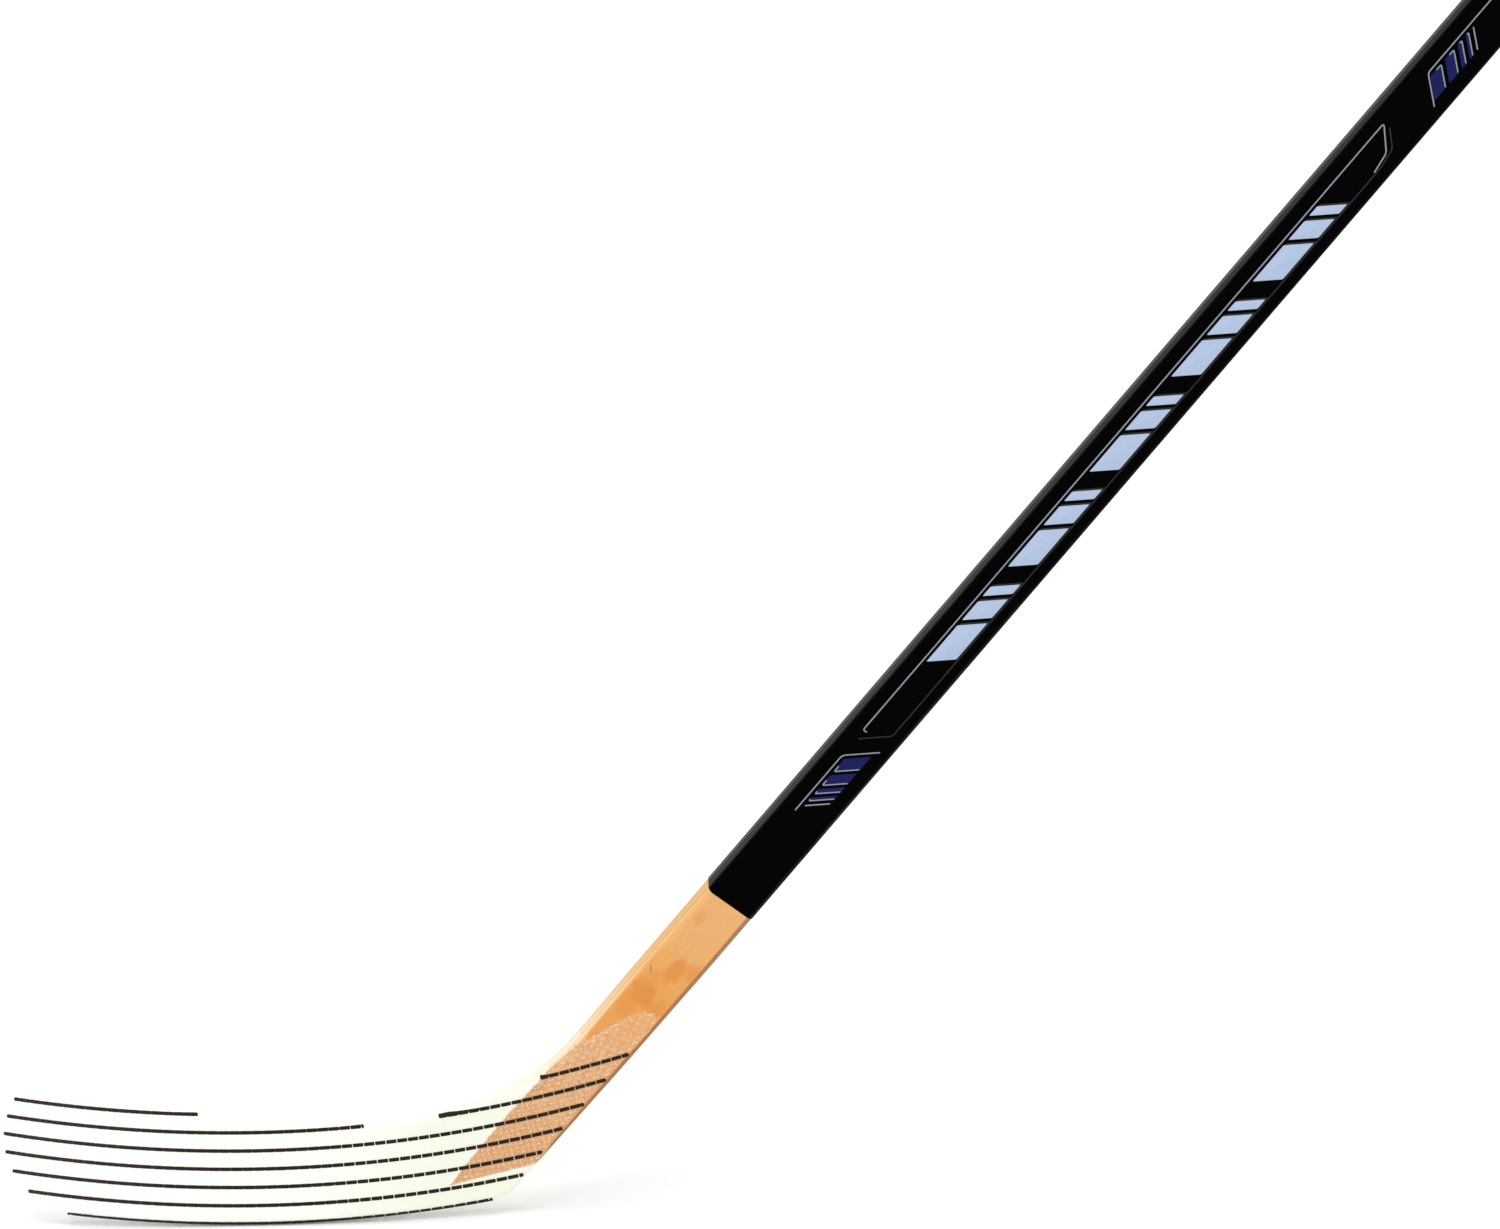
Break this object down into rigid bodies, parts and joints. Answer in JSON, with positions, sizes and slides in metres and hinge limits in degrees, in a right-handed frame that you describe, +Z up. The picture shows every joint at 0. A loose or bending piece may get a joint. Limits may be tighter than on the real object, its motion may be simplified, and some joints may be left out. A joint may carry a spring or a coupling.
{
  "type": "ice hockey stick",
  "caption": "Ice hockey stick: laminated wooden shaft with a printed black film sleeve, bridle-jointed to a curved white blade faced with glass cloth.",
  "frame": {"origin": "on the ice, in the shaft's middle plane, level with the place where the sole touches the ice", "axes": "playing pose: +Z up, the toe points to -X and the shaft rises towards +X, -Y is the convex (backhand) side"},
  "size_m": [1.2509, 0.0453, 1.1147],
  "materials": {
    "aspen": "sanded, clear lacquer",
    "birch": "sanded, clear lacquer",
    "glass_strip": "glass fibre in clear amber resin",
    "film_black": "gloss",
    "abs_white": "gloss, moulded",
    "glass_cloth": "woven glass in clear resin",
    "tracer_black": "black yarn under resin",
    "ink_pale": "gloss print",
    "ink_blue": "gloss print",
    "ink_silver": "gloss print",
    "ink_grey": "gloss print"
  },
  "bodies": {
    "root": {"core_ply_1": "aspen", "core_ply_2": "aspen", "core_ply_3": "aspen", "core_ply_4": "aspen", "core_ply_5": "aspen", "front_face_veneer": "birch", "back_face_veneer": "birch", "front_glass_strip": "glass_strip", "back_glass_strip": "glass_strip", "shaft_film": "film_black", "blade_core": "abs_white", "front_glass_cloth": "glass_cloth", "back_glass_cloth": "glass_cloth", "front_tracer_yarns": "tracer_black", "back_tracer_yarns": "tracer_black", "front_pale_blocks": "ink_pale", "front_blue_bars": "ink_blue", "front_silver_lines": "ink_silver", "front_grey_lines": "ink_grey", "back_pale_blocks": "ink_pale", "back_blue_bars": "ink_blue", "back_silver_lines": "ink_silver", "back_grey_lines": "ink_grey"}
  },
  "joints": []
}
